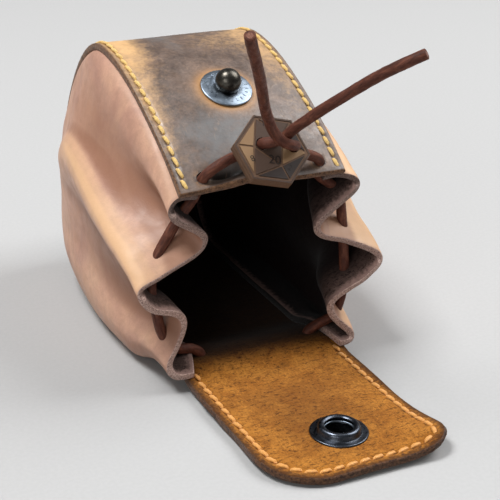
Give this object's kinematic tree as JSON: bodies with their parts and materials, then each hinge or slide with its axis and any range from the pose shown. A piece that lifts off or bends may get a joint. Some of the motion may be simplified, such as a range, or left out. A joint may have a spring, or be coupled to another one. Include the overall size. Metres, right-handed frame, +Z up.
{
  "type": "drawstring dice bag",
  "caption": "Open leather dice bag: one strap forms flap, base, back and top, with pleated gussets, snap stud and socket, and a drawcord with a hexagonal sliding toggle.",
  "frame": {"origin": "on the flat underside of the base, midway between its side edges, 45 mm behind the line where the mouth meets the flap", "axes": "+Z up, mouth and flap towards -Y, +X to the right of a person who stands in front of the bag and looks into its mouth"},
  "size_m": [0.0803, 0.1607, 0.1097],
  "materials": {
    "strap_leather": "pull-up leather, burnished edges",
    "gusset_leather": "smooth natural leather",
    "thread": "waxed thread",
    "cord": "round leather cord",
    "toggle_leather": "engraved leather",
    "nickel": "nickel plate",
    "gunmetal": "dark gunmetal plate"
  },
  "bodies": {
    "bag": {"strap_base": "strap_leather", "gusset_left": "gusset_leather", "gusset_right": "gusset_leather", "seam_thread_base_left": "thread", "seam_thread_base_right": "thread", "drawcord_loop": "cord"},
    "flap": {"strap_flap": "strap_leather", "seam_thread_flap": "thread", "socket_flange": "gunmetal", "socket_spring_ring": "nickel", "socket_cap": "gunmetal"},
    "top": {"strap_top": "strap_leather", "seam_thread_top_left": "thread", "seam_thread_top_right": "thread", "stud_flange": "nickel", "ball_stud": "gunmetal", "stud_washer": "nickel", "drawcord_strand_left": "cord", "drawcord_strand_right": "cord", "drawcord_tail_left": "cord", "drawcord_tail_right": "cord"},
    "toggle": {"toggle_front": "toggle_leather", "toggle_back": "toggle_leather"}
  },
  "joints": [
    {"name": "flap_fold", "type": "hinge", "parent": "bag", "child": "flap", "pos_m": [0, -0.049, 0.0033], "axis": [-1, 0, 0], "range_deg": [0, 75]},
    {"name": "mouth_open", "type": "hinge", "parent": "bag", "child": "top", "pos_m": [0, 0.056, 0.032], "axis": [-1, 0, 0], "range_deg": [-20, 6], "deforming": ["gusset_left", "gusset_right", "drawcord_loop"]},
    {"name": "toggle_slide", "type": "slide", "parent": "top", "child": "toggle", "axis": [-0.0585, -0.7431, 0.6666], "range_m": [0, 0.03], "deforming": ["drawcord_strand_left", "drawcord_strand_right", "drawcord_tail_left", "drawcord_tail_right"]}
  ]
}
